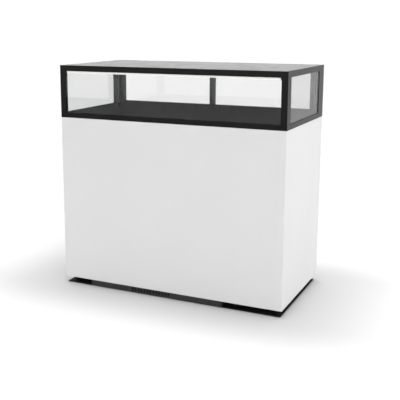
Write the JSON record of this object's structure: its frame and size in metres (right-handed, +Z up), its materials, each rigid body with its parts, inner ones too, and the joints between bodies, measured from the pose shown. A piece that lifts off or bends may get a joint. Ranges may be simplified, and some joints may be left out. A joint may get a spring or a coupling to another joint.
{
  "type": "heated display case",
  "caption": "Free-standing heated display case: glazed black upper display with sliding rear doors and a lit black deck, on a white storage body with hinged rear doors.",
  "frame": {"origin": "on the floor under the middle of the case", "axes": "+Z up, -Y towards the glazed customer side, +X to the right as the customer sees it"},
  "size_m": [1.25, 0.64, 1.2],
  "materials": {
    "white_lacquer": "satin white powder coat",
    "black_lacquer": "satin black powder coat",
    "black_plinth": "matt black paint",
    "frame_steel": "grey primed steel tube",
    "galvanised": "galvanised sheet",
    "stainless": "brushed stainless steel",
    "clear_glass": "clear tempered glass",
    "deck_ceramic": "black glass-ceramic, polished",
    "gasket_rubber": "black rubber",
    "aluminium": "anodised extrusion",
    "opal_cover": "opal cover, lit",
    "circuit_board": "white circuit board",
    "heater_silicone": "silicone heating mat",
    "insulation": "mineral fibre board",
    "brass": "plain brass",
    "black_plastic": "black moulded plastic",
    "grey_plastic": "grey moulded plastic",
    "white_plastic": "white nylon",
    "smoked_window": "smoked window",
    "green_rocker": "green rocker",
    "zinc_screw": "zinc plated"
  },
  "bodies": {
    "case": {"floor_pads": "gasket_rubber", "base_plate": "black_plinth", "plinth_walls": "black_plinth", "vent_panel": "black_plinth", "frame_rails": "frame_steel", "frame_uprights": "frame_steel", "front_panel": "white_lacquer", "left_panel": "white_lacquer", "right_panel": "white_lacquer", "storage_liner": "galvanised", "work_shelf": "galvanised", "shelf_brackets": "galvanised", "pivot_lugs": "frame_steel", "pivot_pins": "stainless", "door_catches": "black_plastic", "rear_fascia": "black_lacquer", "fascia_screws": "zinc_screw", "controller_body": "black_plastic", "controller_window": "smoked_window", "switch_frames": "black_plastic", "electrics_box": "galvanised", "terminal_block": "grey_plastic", "led_driver": "white_plastic", "cable_gland": "black_plastic", "frame_rail": "black_lacquer", "front_posts": "black_lacquer", "rear_posts": "black_lacquer", "roof_tray": "black_lacquer", "ceiling_liner": "stainless", "front_pane": "clear_glass", "side_panes": "clear_glass", "glazing_gaskets": "gasket_rubber", "led_profile": "aluminium", "led_board": "circuit_board", "led_diffuser": "opal_cover", "lower_track": "black_lacquer", "upper_track": "black_lacquer", "deck_glass": "deck_ceramic", "deck_tray": "stainless", "heating_mats": "heater_silicone", "deck_insulation": "insulation", "deck_sensor": "brass", "limit_thermostat": "grey_plastic"},
    "left_sliding_door": {"left_slider_frame": "black_lacquer", "left_slider_glass": "clear_glass", "left_slider_gliders": "white_plastic"},
    "left_storage_door": {"left_door_pan": "white_lacquer", "left_door_backing": "galvanised", "left_door_handle": "stainless"},
    "right_sliding_door": {"right_slider_frame": "black_lacquer", "right_slider_glass": "clear_glass", "right_slider_gliders": "white_plastic"},
    "right_storage_door": {"right_door_pan": "white_lacquer", "right_door_backing": "galvanised", "right_door_handle": "stainless"},
    "power_rocker": {"power_rocker": "green_rocker"},
    "light_rocker": {"light_rocker": "black_plastic"},
    "key_set": {"key_set": "grey_plastic"},
    "key_up": {"key_up": "grey_plastic"},
    "key_down": {"key_down": "grey_plastic"}
  },
  "joints": [
    {"name": "left_door_slide", "type": "slide", "parent": "case", "child": "left_sliding_door", "axis": [1, 0, 0], "range_m": [0, 0.58]},
    {"name": "right_door_slide", "type": "slide", "parent": "case", "child": "right_sliding_door", "axis": [1, 0, 0], "range_m": [-0.58, 0]},
    {"name": "left_storage_hinge", "type": "hinge", "parent": "case", "child": "left_storage_door", "pos_m": [-0.584, 0.28, 0.437], "axis": [0, 0, 1], "range_deg": [0, 92]},
    {"name": "right_storage_hinge", "type": "hinge", "parent": "case", "child": "right_storage_door", "pos_m": [0.584, 0.28, 0.437], "axis": [0, 0, -1], "range_deg": [0, 92]},
    {"name": "power_switch", "type": "hinge", "parent": "case", "child": "power_rocker", "pos_m": [-0.472, 0.284, 0.8716], "axis": [1, 0, 0], "range_deg": [0, 16]},
    {"name": "light_switch", "type": "hinge", "parent": "case", "child": "light_rocker", "pos_m": [-0.508, 0.284, 0.8716], "axis": [1, 0, 0], "range_deg": [0, 16]},
    {"name": "key_set_press", "type": "slide", "parent": "case", "child": "key_set", "axis": [0, -1, 0], "range_m": [0, 0.001], "stiffness_N_per_m": 300},
    {"name": "key_up_press", "type": "slide", "parent": "case", "child": "key_up", "axis": [0, -1, 0], "range_m": [0, 0.001], "stiffness_N_per_m": 300},
    {"name": "key_down_press", "type": "slide", "parent": "case", "child": "key_down", "axis": [0, -1, 0], "range_m": [0, 0.001], "stiffness_N_per_m": 300}
  ]
}
